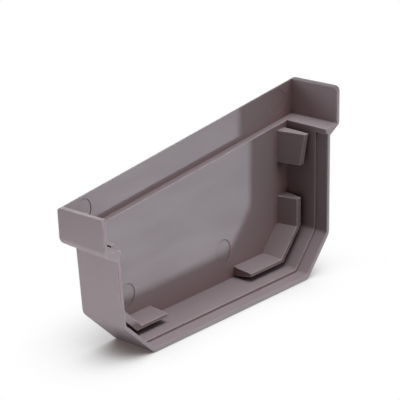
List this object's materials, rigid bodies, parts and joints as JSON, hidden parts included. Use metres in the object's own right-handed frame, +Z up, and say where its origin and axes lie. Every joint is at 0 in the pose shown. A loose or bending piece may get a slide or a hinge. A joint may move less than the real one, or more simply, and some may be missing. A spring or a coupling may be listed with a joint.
{
  "type": "gutter end cap",
  "caption": "Moulded end cap for a box gutter: shallow tray with sloping top edge, stepped upper band, ears, chamfered lower corners and clips inside the flange",
  "frame": {"origin": "on the floor, at the bottom centre of the bounding box of the cap standing on its bottom flange", "axes": "+X runs along the cap's width from the lower front side of the gutter to its taller wall side, +Y from the open rim to the closed back, +Z up"},
  "size_m": [0.18, 0.0292, 0.093],
  "materials": {
    "grey_plastic": "dark warm grey rigid PVC as moulded, satin, with paler worn edges"
  },
  "bodies": {
    "root": {"end_cap": "grey_plastic"}
  },
  "joints": []
}
